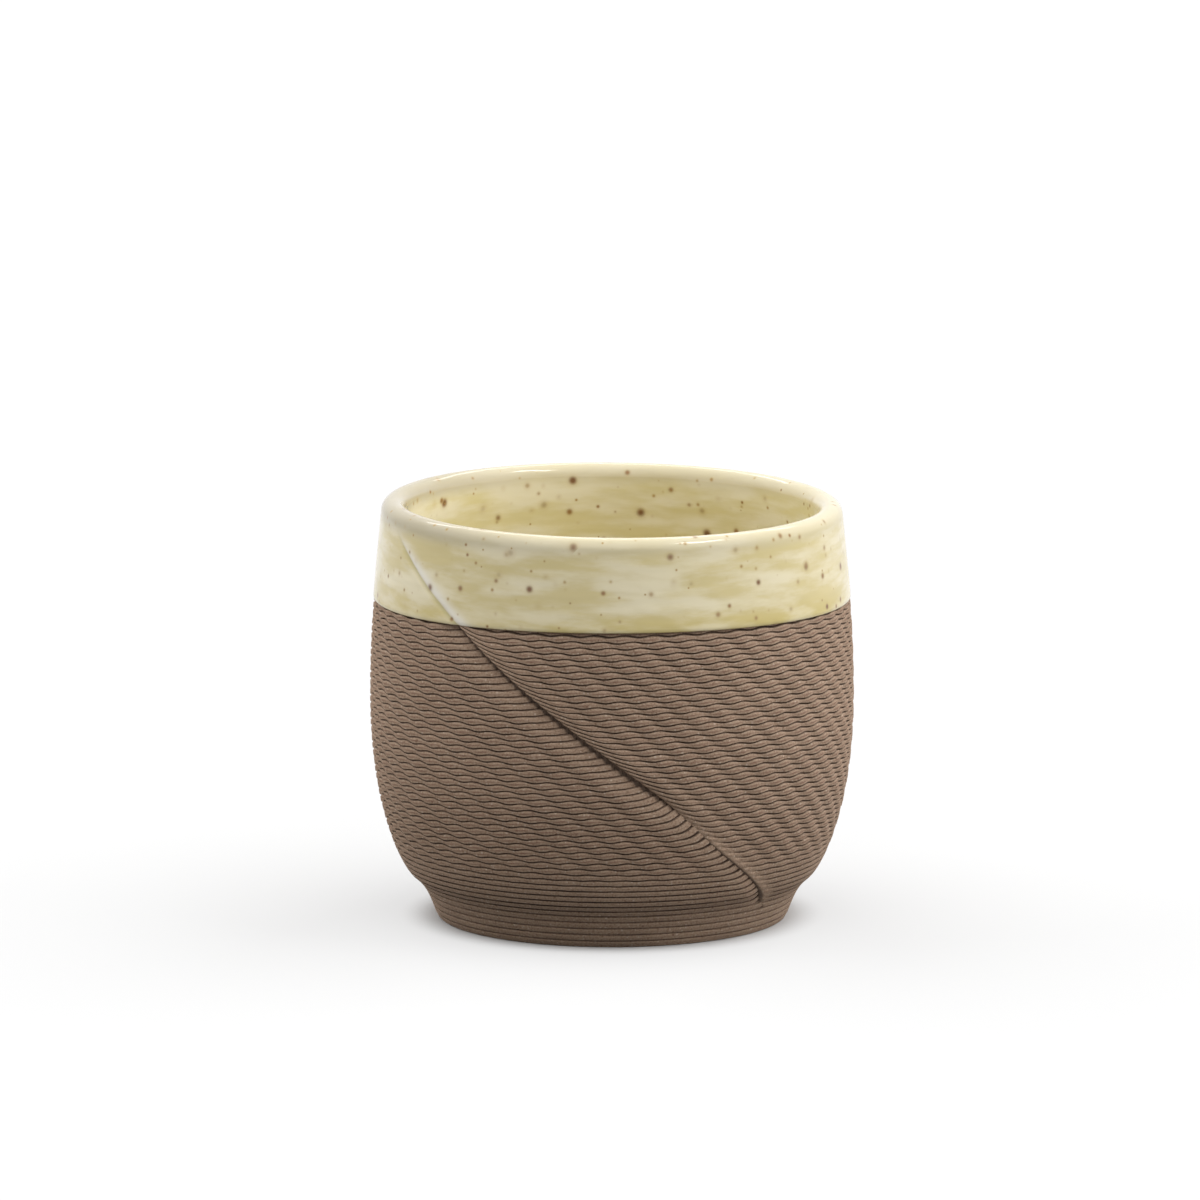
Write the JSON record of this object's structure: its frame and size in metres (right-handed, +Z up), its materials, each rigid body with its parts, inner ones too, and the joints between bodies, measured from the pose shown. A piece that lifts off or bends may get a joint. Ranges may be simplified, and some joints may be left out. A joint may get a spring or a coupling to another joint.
{
  "type": "espresso cup",
  "caption": "Handle-less printed stoneware espresso cup with a wavy layered bare clay wall, one spiral fold, and a speckled gloss glaze on the rim and inside.",
  "frame": {"origin": "centre of the flat foot, on the surface that the cup stands on", "axes": "+Z up along the cup's axis; -Y is the front, where the spiral fold crosses half way up; +X is to the right seen from the front"},
  "size_m": [0.07, 0.07, 0.0609],
  "materials": {
    "clay": "matte bare stoneware, fine printed layers",
    "glaze": "gloss, cream yellow with brown iron specks"
  },
  "bodies": {
    "root": {"clay_base": "clay", "clay_wall": "clay", "lining_glaze": "glaze", "rim_glaze": "glaze"}
  },
  "joints": []
}
